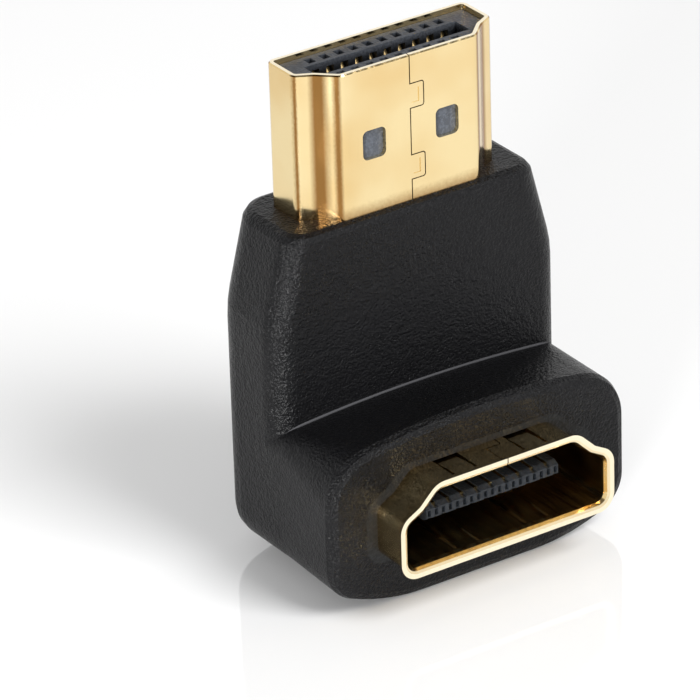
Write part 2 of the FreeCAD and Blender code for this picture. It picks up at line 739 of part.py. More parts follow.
def tail_space():
    """Hollows of the inner mould round the tails, the feet and the leg ends."""
    rear = PLUG_REAR
    reach = OUTER_CONTACT_X + PLUG_CONTACT_WIDTH
    tail = ROW_CENTRE + PLUG_CONTACT_THICKNESS
    low = rear - TAIL_LENGTH - TAIL_PLAY
    spaces = [box(-reach, reach, PLUG_Y - tail, PLUG_Y + tail, low, rear + PAST)]
    side = PLUG_WIDTH / 2
    spaces.append(box(-side, side, PLUG_Y - PLUG_LEG_HALF_WIDTH, PLUG_Y + PLUG_LEG_HALF_WIDTH,
                      rear - PLUG_LEG_LENGTH, rear + PAST))
    foot = FOOT_REACH + TAIL_PLAY
    behind = BOARD_THICKNESS - BOARD_STATION
    spaces.append(box(-reach, reach, -SHELL_STATION, -BOARD_STATION,
                      SOCKET_HEIGHT - foot, SOCKET_HEIGHT + foot))
    leg_tip = SOCKET_LEG_LENGTH - BOARD_STATION
    half = PLUG_WIDTH / 2 + SOCKET_PLAY + SHEET + LEG_PLAY
    spaces.append(box(-half, half, behind, leg_tip + LEG_PLAY,
                      SOCKET_HEIGHT - PLUG_HEIGHT / 2 - SHEET - LEG_PLAY * 2,
                      SOCKET_HEIGHT + SIDE_LEG_HIGH + LEG_PLAY))
    spaces.append(to_socket(section_prism(SOCKET_PLAY + SHEET, BOARD_STATION, MOUTH_STATION)))
    return spaces


def inner_mould():
    """Inner mould, hollow round the board and the socket's shell."""
    return mould_block().cut(tail_space() + [board_blank()])


def overmould_body():
    """Outer moulding, hollow where the inner mould and the plug's shell sit."""
    low = BODY_HEIGHT - BLOCK_TOP_DROP - OVERLAP
    plug_hollow = to_plug(section_prism(0.0, low, BODY_HEIGHT + PAST))
    return body_outside().cut([mould_block(), plug_hollow])


def write_node(name, shape):
    """Write one piece to its own file."""
    shape.exportStep("parts/" + name + ".step")


def main():
    os.makedirs("parts", exist_ok=True)
    write_node("overmould_body", overmould_body())
    write_node("inner_mould", inner_mould())
    write_node("circuit_board", circuit_board())
    write_node("plug_shell", plug_shell())
    write_node("plug_housing", plug_housing())
    write_node("socket_shell", socket_shell())
    write_node("socket_housing", socket_housing())
    for number in range(1, CONTACT_COUNT + 1):
        write_node("plug_contact_%02d" % number, plug_contact(number))
        write_node("socket_contact_%02d" % number, socket_contact(number))


main()
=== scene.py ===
"""Looks for a right angle adapter between a digital video plug and socket.

The adapter stands on a pale floor: an L-shaped black moulded body, a gold plug
pointing up and a gold socket facing forwards. Lengths are in metres, in the frame
of the construction model: X along the width, the socket facing -Y, Z up.
"""

import math

import bpy
import numpy as np
from mathutils import Matrix, Vector


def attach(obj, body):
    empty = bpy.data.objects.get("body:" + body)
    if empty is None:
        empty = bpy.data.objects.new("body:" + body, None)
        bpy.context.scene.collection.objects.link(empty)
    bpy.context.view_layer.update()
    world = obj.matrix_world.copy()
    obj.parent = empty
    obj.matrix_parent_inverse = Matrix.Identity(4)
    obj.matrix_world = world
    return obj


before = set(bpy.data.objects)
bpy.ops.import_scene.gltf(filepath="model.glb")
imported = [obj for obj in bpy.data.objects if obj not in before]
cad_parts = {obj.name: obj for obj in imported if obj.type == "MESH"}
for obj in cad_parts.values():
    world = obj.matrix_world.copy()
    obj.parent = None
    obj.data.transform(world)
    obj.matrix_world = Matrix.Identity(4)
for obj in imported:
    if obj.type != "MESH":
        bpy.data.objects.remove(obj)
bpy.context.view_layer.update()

bl_info = {
    "name": "Right Angle Video Adapter",
    "version": (1, 0, 0),
    "blender": (4, 5, 0),
    "location": "3D View > Sidebar > Adapter",
    "description": "Finishes, stage and camera for a right angle digital video adapter",
    "category": "Object",
}

MM = 0.001
CONTACT_COUNT = 19

# Places where the shells meet the body
BODY_TOP = 21.9 * MM
BODY_FRONT = -4.8 * MM

# The plug housing's front face, the plug's middle and how far the slot reaches from it
PLUG_FACE = 30.7 * MM
PLUG_MIDDLE = 3.7 * MM
SLOT_REACH = 1.72 * MM

# Shade inside the slot: how deep it takes to reach its full strength, and its soft side
SLOT_SHADE = 0.85
SLOT_SHADE_DEPTH = 0.6 * MM
SLOT_SHADE_FADE = 0.1 * MM
SLOT_COLOUR = (0.0, 0.0, 0.0)

# Least angle between two faces that meet in a sharp edge
SOLID_SHARP_ANGLE = math.radians(31.0)
FILLET_SHARP_ANGLE = math.radians(50.0)

# Roughness of each finish, at its smoothest and its roughest places
BODY_SHEEN = (0.24, 0.35)
COLLAR_SHEEN = (0.3, 0.4)
BOARD_SHEEN = (0.2, 0.3)
HOUSING_SHEEN = (0.35, 0.5)
TONGUE_SHEEN = (0.3, 0.45)
SHELL_SHEEN = (0.1, 0.2)
CONTACT_SHEEN = (0.12, 0.25)

# Plastic: its optics, and the dark and pale tones of its speckle against its colour
PLASTIC_IOR = 1.49
PLASTIC_SPECULAR = 0.15
DARK_TONE = 0.6
PALE_TONE = 1.7

# Masks that grow or fade over the limits of a reading
GROW = (0.0, 1.0)
FADE = (1.0, 0.0)

# Grain: detail and roughness of both noises, then the coarse one against the fine one
FINE_NOISE = (2.0, 0.6)
COARSE_NOISE = (1.0, 0.5)
COARSE_SCALE = 0.35
COARSE_HEIGHT = 0.6
SPECKLE_LIMITS = (0.42, 0.62)

# Cloudy sheen: scale, detail and roughness of its noise, its share and its limits
CLOUD_NOISE = (140.0, 3.0, 0.55)
CLOUD_SHARE = 0.6
CLOUD_LIMITS = (0.3, 0.7)

# Plating: scale, detail and roughness of the noises for rolling lines, peel and tone
LINE_NOISE = (260.0, 3.0, 0.6)
PEEL_NOISE = (3200.0, 2.0, 0.5)
TONE_NOISE = (190.0, 2.0, 0.5)
LINE_STRETCH = (14.0, 1.0, 1.0)
LINE_HEIGHT = 0.35
PLATING_LIMITS = (0.35, 0.65)
PLATING_DEPTH = 0.002 * MM

# Painted dark reflections streaked along the plug's bends: distance from the middle, width and depth
# of shade
BEND_REFLECTION_STREAKS = (
    (6.83 * MM, 0.12 * MM, 1.2),
    (5.72 * MM, 0.5 * MM, 1.5),
    (4.92 * MM, 0.24 * MM, 1.3),
)
BEND_DRIFT = 0.1 * MM
BEND_NOISE = (9000.0, 2.0, 0.6)
BEND_LIMITS = (0.06, 0.2)

# Painted highlight on a shell's cut edge: how squarely it faces along the axis, and how far it pales
EDGE_LIMITS = (0.8, 0.97)
EDGE_HIGHLIGHT = 0.75

# Painted brown shade at the root of a shell: its run, then the shares of the run that shape its
# ragged end
PLUG_ROOT_RUN = 0.7 * MM
SOCKET_ROOT_RUN = 1.0 * MM
ROOT_NOISE = (5200.0, 2.0, 0.6)
ROOT_RAGGED = 0.6
ROOT_FULL = 0.2
ROOT_GONE = 1.4
ROOT_SHADE = 0.85

# Crease fillet: its grid, how far it turns round each corner and how it runs out
PATH_POINTS = 241
ROUND_POINTS = 13
CORNER_SWEEP = math.radians(62.0)
RUN_OUT_POWER = 12
END_RADIUS = 0.001 * MM

# Stage: the floor's gloss, where the room above begins in reflections, and the lamps
FLOOR_ROUGHNESS = 0.05
FLOOR_SPECULAR = 1.0
OVERHEAD_LIMITS = (0.5, 0.7)
KEY_PLACE = (0.16, -0.42, 0.5)
KEY_SIZE = 0.3
EDGE_PLACE = (-0.34, -0.28, 0.06)
EDGE_SIZE = 0.1
LAMP_AIM = (0.0, 0.0, 0.015)

# Camera: the width of its sensor in millimetres, and what lies too near or too far
SENSOR_WIDTH = 36.0
NEAREST = 0.01
FARTHEST = 10.0


class AdapterFinish(bpy.types.PropertyGroup):
    """Colours and surface sizes of the adapter's finishes, with the colours of its painted shade,
    reflections and highlights
    """

    plastic_colour: bpy.props.FloatVectorProperty(
        name="Body plastic",
        description="Colour of the black moulded plastic",
        subtype="COLOR",
        size=3,
        default=(0.003, 0.003, 0.0034),
    )
    collar_colour: bpy.props.FloatVectorProperty(
        name="Inner mould plastic",
        description="Colour of the smoother inner moulding that shows round the socket",
        subtype="COLOR",
        size=3,
        default=(0.008, 0.0085, 0.009),
    )
    housing_colour: bpy.props.FloatVectorProperty(
        name="Housing plastic",
        description="Colour of the grey insulator that holds the plug's contacts",
        subtype="COLOR",
        size=3,
        default=(0.05, 0.055, 0.065),
    )
    tongue_colour: bpy.props.FloatVectorProperty(
        name="Tongue plastic",
        description="Colour of the dark tongue in the socket",
        subtype="COLOR",
        size=3,
        default=(0.013, 0.015, 0.018),
    )
    board_colour: bpy.props.FloatVectorProperty(
        name="Circuit board",
        description="Colour of the lacquer on the board inside",
        subtype="COLOR",
        size=3,
        default=(0.012, 0.07, 0.03),
    )
    gold_colour: bpy.props.FloatVectorProperty(
        name="Shell plating",
        description="Colour of the gold plating on both shells",
        subtype="COLOR",
        size=3,
        default=(0.83, 0.67, 0.37),
    )
    deep_gold_colour: bpy.props.FloatVectorProperty(
        name="Deep plating",
        description="Colour of the plating where it is thicker and redder",
        subtype="COLOR",
        size=3,
        default=(0.76, 0.555, 0.265),
    )
    # Brown for painted dark reflections along the plug's bends and painted shade where the plug
    # leaves the body
    bend_and_root_shade_colour: bpy.props.FloatVectorProperty(
        name="Bend shade",
        description="Brown of the plug's plating along its bends and where it leaves the body",
        subtype="COLOR",
        size=3,
        default=(0.28, 0.14, 0.04),
    )
    # Brown for painted shade on the socket's plating where it leaves the body
    root_shade_colour: bpy.props.FloatVectorProperty(
        name="Root shade",
        description="Brown of the socket's plating where it leaves the body",
        subtype="COLOR",
        size=3,
        default=(0.42, 0.25, 0.08),
    )
    # Pale colour for the painted highlight on the cut edge at each shell's mouth
    edge_highlight_colour: bpy.props.FloatVectorProperty(
        name="Cut edge",
        description="Pale colour of the sheet's highlit edge at each mouth",
        subtype="COLOR",
        size=3,
        default=(1.0, 0.93, 0.74),
    )
    contact_colour: bpy.props.FloatVectorProperty(
        name="Contact plating",
        description="Colour of the gold on the contacts",
        subtype="COLOR",
        size=3,
        default=(0.9, 0.66, 0.3),
    )
    grain_size: bpy.props.FloatProperty(
        name="Grain size",
        description="Width of one grain of the moulded texture",
        unit="LENGTH",
        default=0.17 * MM,
    )
    grain_depth: bpy.props.FloatProperty(
        name="Grain depth",
        description="Height of the moulded texture",
        unit="LENGTH",
        default=0.12 * MM,
    )


class AdapterShape(bpy.types.PropertyGroup):
    """Sizes of the fillet that is added to the construction model"""

    leg_half_width: bpy.props.FloatProperty(
        name="Leg half width",
        description="Half the width of the upper leg",
        unit="LENGTH",
        default=10.15 * MM,
    )
    leg_corner: bpy.props.FloatProperty(
        name="Leg corner",
        description="Radius of the upper leg's front corners",
        unit="LENGTH",
        default=1.5 * MM,
    )
    crease_front: bpy.props.FloatProperty(
        name="Crease place",
        description="Place of the upper leg's front face along Y",
        unit="LENGTH",
        default=1.0 * MM,
    )
    crease_height: bpy.props.FloatProperty(
        name="Crease height",
        description="Height of the lower leg's top at the middle of the crease",
        unit="LENGTH",
        default=10.38 * MM,
    )
    crease_crown: bpy.props.FloatProperty(
        name="Crease crown",
        description="Radius of the crown of the lower leg's top at the crease",
        unit="LENGTH",
        default=100.0 * MM,
    )
    crease_corner: bpy.props.FloatProperty(
        name="Crease corner",
        description="Radius of the lower leg's upper corner at the crease",
        unit="LENGTH",
        default=1.6 * MM,
    )
    top_slope: bpy.props.FloatProperty(
        name="Top slope",
        description="Rise of the lower leg's top towards the front, for each unit of length",
        default=0.137,
    )
    fillet_radius: bpy.props.FloatProperty(
        name="Fillet radius",
        description="Radius of the moulded fillet in the crease",
        unit="LENGTH",
        default=0.11 * MM,
    )


class AdapterStage(bpy.types.PropertyGroup):
    """Floor, lamps and camera"""

    floor_colour: bpy.props.FloatVectorProperty(
        name="Floor",
        description="Colour of the plain floor",
        subtype="COLOR",
        size=3,
        default=(0.98, 0.98, 0.98),
    )
    floor_size: bpy.props.FloatProperty(
        name="Floor size",
        description="Side of the square floor",
        unit="LENGTH",
        default=3.0,
    )
    aim: bpy.props.FloatVectorProperty(
        name="Aim",
        description="Point on the plug's axis at the top of the body that the view is measured from",
        subtype="TRANSLATION",
        unit="LENGTH",
        size=3,
        default=(0.0, PLUG_MIDDLE, BODY_TOP),
    )
    azimuth: bpy.props.FloatProperty(
        name="Azimuth",
        description="Turn of the camera round the adapter",
        subtype="ANGLE",
        default=math.radians(-33.45),
    )
    elevation: bpy.props.FloatProperty(
        name="Elevation",
        description="Height of the camera above the horizon",
        subtype="ANGLE",
        default=math.radians(27.08),
    )
    roll: bpy.props.FloatProperty(
        name="Roll",
        description="Turn of the camera about its own axis",
        subtype="ANGLE",
        default=math.radians(-1.8),
    )
    distance: bpy.props.FloatProperty(
        name="Distance",
        description="Distance of the camera from the aim",
        unit="LENGTH",
        default=338.17 * MM,
    )
    sideways: bpy.props.FloatProperty(
        name="Sideways",
        description="How far the camera stands to the right of the aim's line",
        unit="LENGTH",
        default=-2.38 * MM,
    )
    upwards: bpy.props.FloatProperty(
        name="Upwards",
        description="How far the camera stands above the aim's line",
        unit="LENGTH",
        default=-9.53 * MM,
    )
    lens: bpy.props.FloatProperty(
        name="Lens",
        description="Focal length for a sensor 36 mm wide",
        subtype="DISTANCE_CAMERA",
        default=298.7,
    )
    key_power: bpy.props.FloatProperty(
        name="Key lamp",
        description="Power of the large soft lamp",
        unit="POWER",
        default=3.5,
    )
    edge_power: bpy.props.FloatProperty(
        name="Edge lamp",
        description="Power of the small low lamp that draws out the left edges",
        unit="POWER",
        default=2.5,
    )
    room_light: bpy.props.FloatProperty(
        name="Room light",
        description="Strength of the even light from the room",
        default=0.44,
    )
    room_reflection: bpy.props.FloatProperty(
        name="Room in reflections",
        description="Strength of the room overhead as glossy surfaces mirror it",
        default=0.16,
    )


def feed(tree, socket, value):
    """Link a node's input to another node's output, or give it a plain value."""
    if isinstance(value, bpy.types.NodeSocket):
        tree.links.new(value, socket)
    else:
        socket.default_value = value


def math_node(tree, operation, *values):
    """Math node fed by sockets or numbers; returns its output."""
    node = tree.nodes.new("ShaderNodeMath")
    node.operation = operation
    for socket, value in zip(node.inputs, values):
        feed(tree, socket, value)
    return node.outputs["Value"]


def map_range(tree, value, limits, results):
    """Map a value from two limits to two results, and no further; returns the output."""
    node = tree.nodes.new("ShaderNodeMapRange")
    labels = ("Value", "From Min", "From Max", "To Min", "To Max")
    for label, number in zip(labels, (value, *limits, *results)):
        feed(tree, node.inputs[label], number)
    return node.outputs["Result"]


def noise(tree, place, scale, detail, roughness):
    """Noise texture at a place; returns its value output."""
    node = tree.nodes.new("ShaderNodeTexNoise")
    feed(tree, node.inputs["Vector"], place)
    feed(tree, node.inputs["Scale"], scale)
    feed(tree, node.inputs["Detail"], detail)
    feed(tree, node.inputs["Roughness"], roughness)
    return node.outputs["Fac"]


def mix_colour(tree, factor, first, second):
    """Mix of two colours, each a socket or a plain colour; returns the mixed colour."""
    node = tree.nodes.new("ShaderNodeMix")
    node.data_type = "RGBA"
    inputs = {socket.identifier: socket for socket in node.inputs}
    outputs = {socket.identifier: socket for socket in node.outputs}
    feed(tree, inputs["Factor_Float"], factor)
    for label, value in (("A_Color", first), ("B_Color", second)):
        if not isinstance(value, bpy.types.NodeSocket):
            value = (*value, 1.0)
        feed(tree, inputs[label], value)
    return outputs["Result_Color"]


def split(tree, vector):
    """Outputs X, Y and Z of a vector."""
    node = tree.nodes.new("ShaderNodeSeparateXYZ")
    feed(tree, node.inputs["Vector"], vector)
    return node.outputs


def along(tree, vector, axis):
    """How far a vector goes along an axis of length 1; returns the output."""
    node = tree.nodes.new("ShaderNodeVectorMath")
    node.operation = "DOT_PRODUCT"
    feed(tree, node.inputs[0], vector)
    feed(tree, node.inputs[1], axis)
    return node.outputs["Value"]


def coordinates(tree):
    """Outputs of a Texture Coordinate node."""
    return tree.nodes.new("ShaderNodeTexCoord").outputs


def shader_group(name, vectors, numbers, results):
    """New node group that turns vectors and numbers into numbers.

    Returns the group, the sockets that it is given and the sockets of its results.
    """
    group = bpy.data.node_groups.new(name, "ShaderNodeTree")
    for label in vectors:
        group.interface.new_socket(label, in_out="INPUT", socket_type="NodeSocketVector")
    for label in numbers:
        group.interface.new_socket(label, in_out="INPUT", socket_type="NodeSocketFloat")
    for label in results:
        group.interface.new_socket(label, in_out="OUTPUT", socket_type="NodeSocketFloat")
    given = group.nodes.new("NodeGroupInput").outputs
    result = group.nodes.new("NodeGroupOutput").inputs
    return group, given, result


def moulded_grain_group(name):
    """Fine spark-eroded grain of a moulded surface, and the sheen that varies over it.

    The height is a fine noise plus a share of a coarse one. The roughness follows a
    blend of a wide cloud and the fine noise.
    """
    group, given, result = shader_group(
        name,
        ["Vector"],
        ["Grain size", "Smoothest", "Roughest"],
        ["Height", "Roughness", "Cloud", "Speckle"],
    )
    scale = math_node(group, "DIVIDE", 1.0, given["Grain size"])
    fine = noise(group, given["Vector"], scale, *FINE_NOISE)
    coarse_scale = math_node(group, "MULTIPLY", scale, COARSE_SCALE)
    coarse = noise(group, given["Vector"], coarse_scale, *COARSE_NOISE)
    cloud = noise(group, given["Vector"], *CLOUD_NOISE)
    fine_part = math_node(group, "MULTIPLY", fine, 1.0 - CLOUD_SHARE)
    blend = math_node(group, "MULTIPLY_ADD", cloud, CLOUD_SHARE, fine_part)
    sheen = (given["Smoothest"], given["Roughest"])
    feed(group, result["Height"], math_node(group, "MULTIPLY_ADD", coarse, COARSE_HEIGHT, fine))
    feed(group, result["Roughness"], map_range(group, blend, CLOUD_LIMITS, sheen))
    feed(group, result["Cloud"], cloud)
    feed(group, result["Speckle"], map_range(group, fine, SPECKLE_LIMITS, GROW))
    return group


def plating_group(name):
    """Plated sheet: long rolling lines, small orange peel and a slow change of tone."""
    group, given, result = shader_group(
        name,
        ["Vector"],
        ["Smoothest", "Roughest"],
        ["Height", "Roughness", "Tone"],
    )
    stretch = group.nodes.new("ShaderNodeMapping")
    feed(group, stretch.inputs["Vector"], given["Vector"])
    feed(group, stretch.inputs["Scale"], LINE_STRETCH)
    lines = noise(group, stretch.outputs["Vector"], *LINE_NOISE)
    peel = noise(group, given["Vector"], *PEEL_NOISE)
    tone = noise(group, given["Vector"], *TONE_NOISE)
    sheen = (given["Smoothest"], given["Roughest"])
    feed(group, result["Height"], math_node(group, "MULTIPLY_ADD", lines, LINE_HEIGHT, peel))
    feed(group, result["Roughness"], map_range(group, lines, PLATING_LIMITS, sheen))
    feed(group, result["Tone"], map_range(group, tone, PLATING_LIMITS, GROW))
    return group


def bend_reflection_group(name):
    """Painted dark reflections that streak the bends of an upright sheet.

    Each streak is strongest at its own distance from the sheet's middle and falls to 0
    over its width. A window keeps to walls that face between the X and Y axes: it grows
    with the product of those two parts of the normal.
    """
    group, given, result = shader_group(name, ["Vector", "Normal"], [], ["Shade"])
    facing = split(group, given["Normal"])
    product = math_node(group, "MULTIPLY", facing["X"], facing["Y"])
    window = map_range(group, math_node(group, "ABSOLUTE", product), BEND_LIMITS, GROW)
    drift = noise(group, given["Vector"], *BEND_NOISE)
    middle_offset = math_node(group, "ABSOLUTE", split(group, given["Vector"])["X"])
    across = math_node(group, "MULTIPLY_ADD", drift, BEND_DRIFT, middle_offset)
    shade = 0.0
    for distance, width, depth in BEND_REFLECTION_STREAKS:
        offset = math_node(group, "SUBTRACT", across, distance + BEND_DRIFT / 2)
        reading = math_node(group, "ABSOLUTE", offset)
        streak = map_range(group, reading, (0.0, width), (depth, 0.0))
        shade = math_node(group, "MAXIMUM", streak, shade)
    feed(group, result["Shade"], math_node(group, "MULTIPLY", window, shade))
    return group


def add_group(tree, name, maker, values):
    """Put a node group in a material with its own values; returns its outputs.

    The maker builds the group the first time that its name is asked for.
    """
    node = tree.nodes.new("ShaderNodeGroup")
    node.node_tree = bpy.data.node_groups.get(name) or maker(name)
    for label, value in values.items():
        feed(tree, node.inputs[label], value)
    return node.outputs


def add_bump(tree, shader, height, distance):
    """Bump node at full strength between a height and the shader."""
    bump = tree.nodes.new("ShaderNodeBump")
    feed(tree, bump.inputs["Strength"], 1.0)
    feed(tree, bump.inputs["Distance"], distance)
    feed(tree, bump.inputs["Height"], height)
    feed(tree, shader.inputs["Normal"], bump.outputs["Normal"])


def new_material(name):
    """Material with a Principled surface; returns it with its tree and its shader."""
    material = bpy.data.materials.new(name)
    material.use_nodes = True
    tree = material.node_tree
    return material, tree, tree.nodes["Principled BSDF"]


def tint(material, mask, colour):
    """Lay a colour over a material's own colour, as strongly as the mask says."""
    tree = material.node_tree
    base = tree.nodes["Principled BSDF"].inputs["Base Color"]
    own = base.links[0].from_socket
    feed(tree, base, mix_colour(tree, mask, own, colour))


def plastic_material(name, colour, grain_size, grain_depth, sheen):
    """Moulded plastic: fine grain, cloudy sheen and a slightly paler bloom."""
    material, tree, shader = new_material(name)
    smoothest, roughest = sheen
    grain = add_group(tree, "Moulded grain", moulded_grain_group, {
        "Vector": coordinates(tree)["Object"],
        "Grain size": grain_size,
        "Smoothest": smoothest,
        "Roughest": roughest,
    })
    dark = tuple(channel * DARK_TONE for channel in colour)
    pale = tuple(channel * PALE_TONE for channel in colour)
    speckled = mix_colour(tree, grain["Speckle"], dark, pale)
    feed(tree, shader.inputs["Base Color"], mix_colour(tree, grain["Cloud"], speckled, pale))
    feed(tree, shader.inputs["Roughness"], grain["Roughness"])
    feed(tree, shader.inputs["IOR"], PLASTIC_IOR)
    feed(tree, shader.inputs["Specular IOR Level"], PLASTIC_SPECULAR)
    add_bump(tree, shader, grain["Height"], grain_depth)
    return material


def gold_material(name, colour, deep_colour, sheen):
    """Plated metal with rolling lines and a slow change of tone."""
    material, tree, shader = new_material(name)
    smoothest, roughest = sheen
    plating = add_group(tree, "Plated sheet", plating_group, {
        "Vector": coordinates(tree)["Object"],
        "Smoothest": smoothest,
        "Roughest": roughest,
    })
    toned = mix_colour(tree, plating["Tone"], colour, deep_colour)
    feed(tree, shader.inputs["Base Color"], toned)
    feed(tree, shader.inputs["Roughness"], plating["Roughness"])
    feed(tree, shader.inputs["Metallic"], 1.0)
    add_bump(tree, shader, plating["Height"], PLATING_DEPTH)
    return material


def paint_bend_reflections(material, colour):
    """Streak a plated material's upright bends with painted dark reflections."""
    tree = material.node_tree
    given = coordinates(tree)
    bends = add_group(tree, "Painted bend reflections", bend_reflection_group, {
        "Vector": given["Object"],
        "Normal": given["Normal"],
    })
    tint(material, bends["Shade"], colour)


def paint_root_shade_and_edge_highlight(material, axis, start, run, root_shade_colour, edge_highlight_colour):
    """Paint brown shade on a shell where it leaves the body, and a pale highlight on its cut edge.

    The root shade fades out over a run from the start, both measured along the shell's
    axis. The edge is where the surface faces along that axis.
    """
    tree = material.node_tree
    given = coordinates(tree)
    # Painted shade: brown near the body, with a ragged end
    speckle = noise(tree, given["Object"], *ROOT_NOISE)
    height = along(tree, given["Object"], axis)
    ragged = math_node(tree, "MULTIPLY_ADD", speckle, run * ROOT_RAGGED, height)
    limits = (start + run * ROOT_FULL, start + run * ROOT_GONE)
    tint(material, map_range(tree, ragged, limits, (ROOT_SHADE, 0.0)), root_shade_colour)
    # Painted highlight: paler where the surface faces along the axis
    facing = along(tree, given["Normal"], axis)
    tint(material, map_range(tree, facing, EDGE_LIMITS, (0.0, EDGE_HIGHLIGHT)), edge_highlight_colour)


def shade_slot(material):
    """Darken a material below the plug's face and near its middle, as inside the slot."""
    tree = material.node_tree
    place = split(tree, coordinates(tree)["Object"])
    heights = (PLUG_FACE - SLOT_SHADE_DEPTH, PLUG_FACE)
    deep = map_range(tree, place["Z"], heights, (SLOT_SHADE, 0.0))
    offset = math_node(tree, "SUBTRACT", place["Y"], PLUG_MIDDLE)
    sides = (SLOT_REACH, SLOT_REACH + SLOT_SHADE_FADE)
    inside = map_range(tree, math_node(tree, "ABSOLUTE", offset), sides, FADE)
    tint(material, math_node(tree, "MULTIPLY", deep, inside), SLOT_COLOUR)


def finish_node(name, material):
    """Give one construction node its material and clean, smooth shading."""
    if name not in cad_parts:
        raise RuntimeError("the construction model has no node named " + name)
    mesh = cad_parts[name].data
    mesh.shade_smooth()
    mesh.set_sharp_from_angle(angle=SOLID_SHARP_ANGLE)
    mesh.materials.clear()
    mesh.materials.append(material)


class ADAPTER_OT_mouldings(bpy.types.Operator):
    """Finish the black body and the inner mould"""

    bl_idname = "adapter.mouldings"
    bl_label = "Mouldings"

    def execute(self, context):
        finish = context.scene.adapter_finish
        body = plastic_material("body_plastic", finish.plastic_colour,
                                finish.grain_size, finish.grain_depth, BODY_SHEEN)
        collar = plastic_material("mould_plastic", finish.collar_colour,
                                  finish.grain_size, finish.grain_depth / 2, COLLAR_SHEEN)
        finish_node("overmould_body", body)
        finish_node("inner_mould", collar)
        return {"FINISHED"}


class ADAPTER_OT_board(bpy.types.Operator):
    """Finish the circuit board"""

    bl_idname = "adapter.board"
    bl_label = "Circuit board"

    def execute(self, context):
        finish = context.scene.adapter_finish
        board = plastic_material("board_lacquer", finish.board_colour,
                                 finish.grain_size, finish.grain_depth / 2, BOARD_SHEEN)
        finish_node("circuit_board", board)
        return {"FINISHED"}


class ADAPTER_OT_housings(bpy.types.Operator):
    """Finish the two insulators that hold the contacts"""

    bl_idname = "adapter.housings"
    bl_label = "Housings"

    def execute(self, context):
        finish = context.scene.adapter_finish
        housing = plastic_material("housing_plastic", finish.housing_colour,
                                   finish.grain_size, finish.grain_depth / 2, HOUSING_SHEEN)
        shade_slot(housing)
        tongue = plastic_material("tongue_plastic", finish.tongue_colour,
                                  finish.grain_size, finish.grain_depth / 2, TONGUE_SHEEN)
        finish_node("plug_housing", housing)
        finish_node("socket_housing", tongue)
        return {"FINISHED"}


class ADAPTER_OT_shells(bpy.types.Operator):
    """Finish the two gold shells, with painted dark reflections, painted shade and painted edge
    highlights
    """

    bl_idname = "adapter.shells"
    bl_label = "Shells"

    def execute(self, context):
        finish = context.scene.adapter_finish
        plug = gold_material("plug_shell_gold", finish.gold_colour,
                             finish.deep_gold_colour, SHELL_SHEEN)
        # Painted dark reflections streak the plug's bends
        paint_bend_reflections(plug, finish.bend_and_root_shade_colour)
        paint_root_shade_and_edge_highlight(plug, (0.0, 0.0, 1.0), BODY_TOP, PLUG_ROOT_RUN,
                   finish.bend_and_root_shade_colour, finish.edge_highlight_colour)
        socket = gold_material("shell_gold", finish.gold_colour,
                               finish.deep_gold_colour, SHELL_SHEEN)
        paint_root_shade_and_edge_highlight(socket, (0.0, -1.0, 0.0), -BODY_FRONT, SOCKET_ROOT_RUN,
                   finish.root_shade_colour, finish.edge_highlight_colour)
        finish_node("plug_shell", plug)
        finish_node("socket_shell", socket)
        return {"FINISHED"}


class ADAPTER_OT_contacts(bpy.types.Operator):
    """Finish the contacts of the plug and the socket"""

    bl_idname = "adapter.contacts"
    bl_label = "Contacts"

    def execute(self, context):
        finish = context.scene.adapter_finish
        contact = gold_material("contact_gold", finish.contact_colour,
                                finish.deep_gold_colour, CONTACT_SHEEN)
        for number in range(1, CONTACT_COUNT + 1):
            finish_node("plug_contact_%02d" % number, contact)
            finish_node("socket_contact_%02d" % number, contact)
        return {"FINISHED"}


def tube_piece(name, loops, material):
    """Closed surface through a row of closed loops, given as (loops, points, 3).

    Neighbouring loops are joined by quads, and each end is closed by one face.
    """
    rows, count = loops.shape[:2]
    index = np.arange(rows * count).reshape(rows, count)
    onward = np.roll(index, -1, axis=1)
    quads = np.stack([index[:-1], onward[:-1], onward[1:], index[1:]], axis=-1).reshape(-1, 4)
    faces = quads.tolist() + [index[0, ::-1].tolist(), index[-1].tolist()]
    mesh = bpy.data.meshes.new(name)
    mesh.from_pydata(loops.reshape(-1, 3).tolist(), [], faces)
    mesh.shade_smooth()
    mesh.set_sharp_from_angle(angle=FILLET_SHARP_ANGLE)
    mesh.materials.append(material)
    piece = bpy.data.objects.new(name, mesh)
    bpy.context.scene.collection.objects.link(piece)
    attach(piece, "root")
    return piece


def crease_path(shape):
    """Foot of the upper leg's front: a straight run with part of a round corner at each end.

    Returns the places, the outward directions and the distance from the middle as a share.
    """
    straight = shape.leg_half_width - shape.leg_corner
    reach = straight + shape.leg_corner * CORNER_SWEEP
    path = np.linspace(-reach, reach, PATH_POINTS)
    turn = np.clip((np.abs(path) - straight) / shape.leg_corner, 0.0, None)
    outward_x = np.sin(turn) * np.sign(path)
    outward_y = -np.cos(turn)
    x = np.clip(path, -straight, straight) + outward_x * shape.leg_corner
    y = shape.crease_front + shape.leg_corner + outward_y * shape.leg_corner
    return x, y, outward_x, outward_y, np.abs(path) / reach


def lower_top(shape, x):
    """Height of the lower leg's top at the crease: a crown that ends in round corners.

    The crown drops by x squared over twice its radius. Past the corner's start the
    height drops further, by the corner radius less its upright part.
    """
    crown = shape.crease_height - x ** 2 / (2 * shape.crease_crown)
    past = np.clip(np.abs(x) - (shape.leg_half_width - shape.crease_corner), 0.0, None)
    upright = np.sqrt(np.clip(shape.crease_corner ** 2 - past ** 2, 0.0, None))
    return crown - (shape.crease_corner - upright)


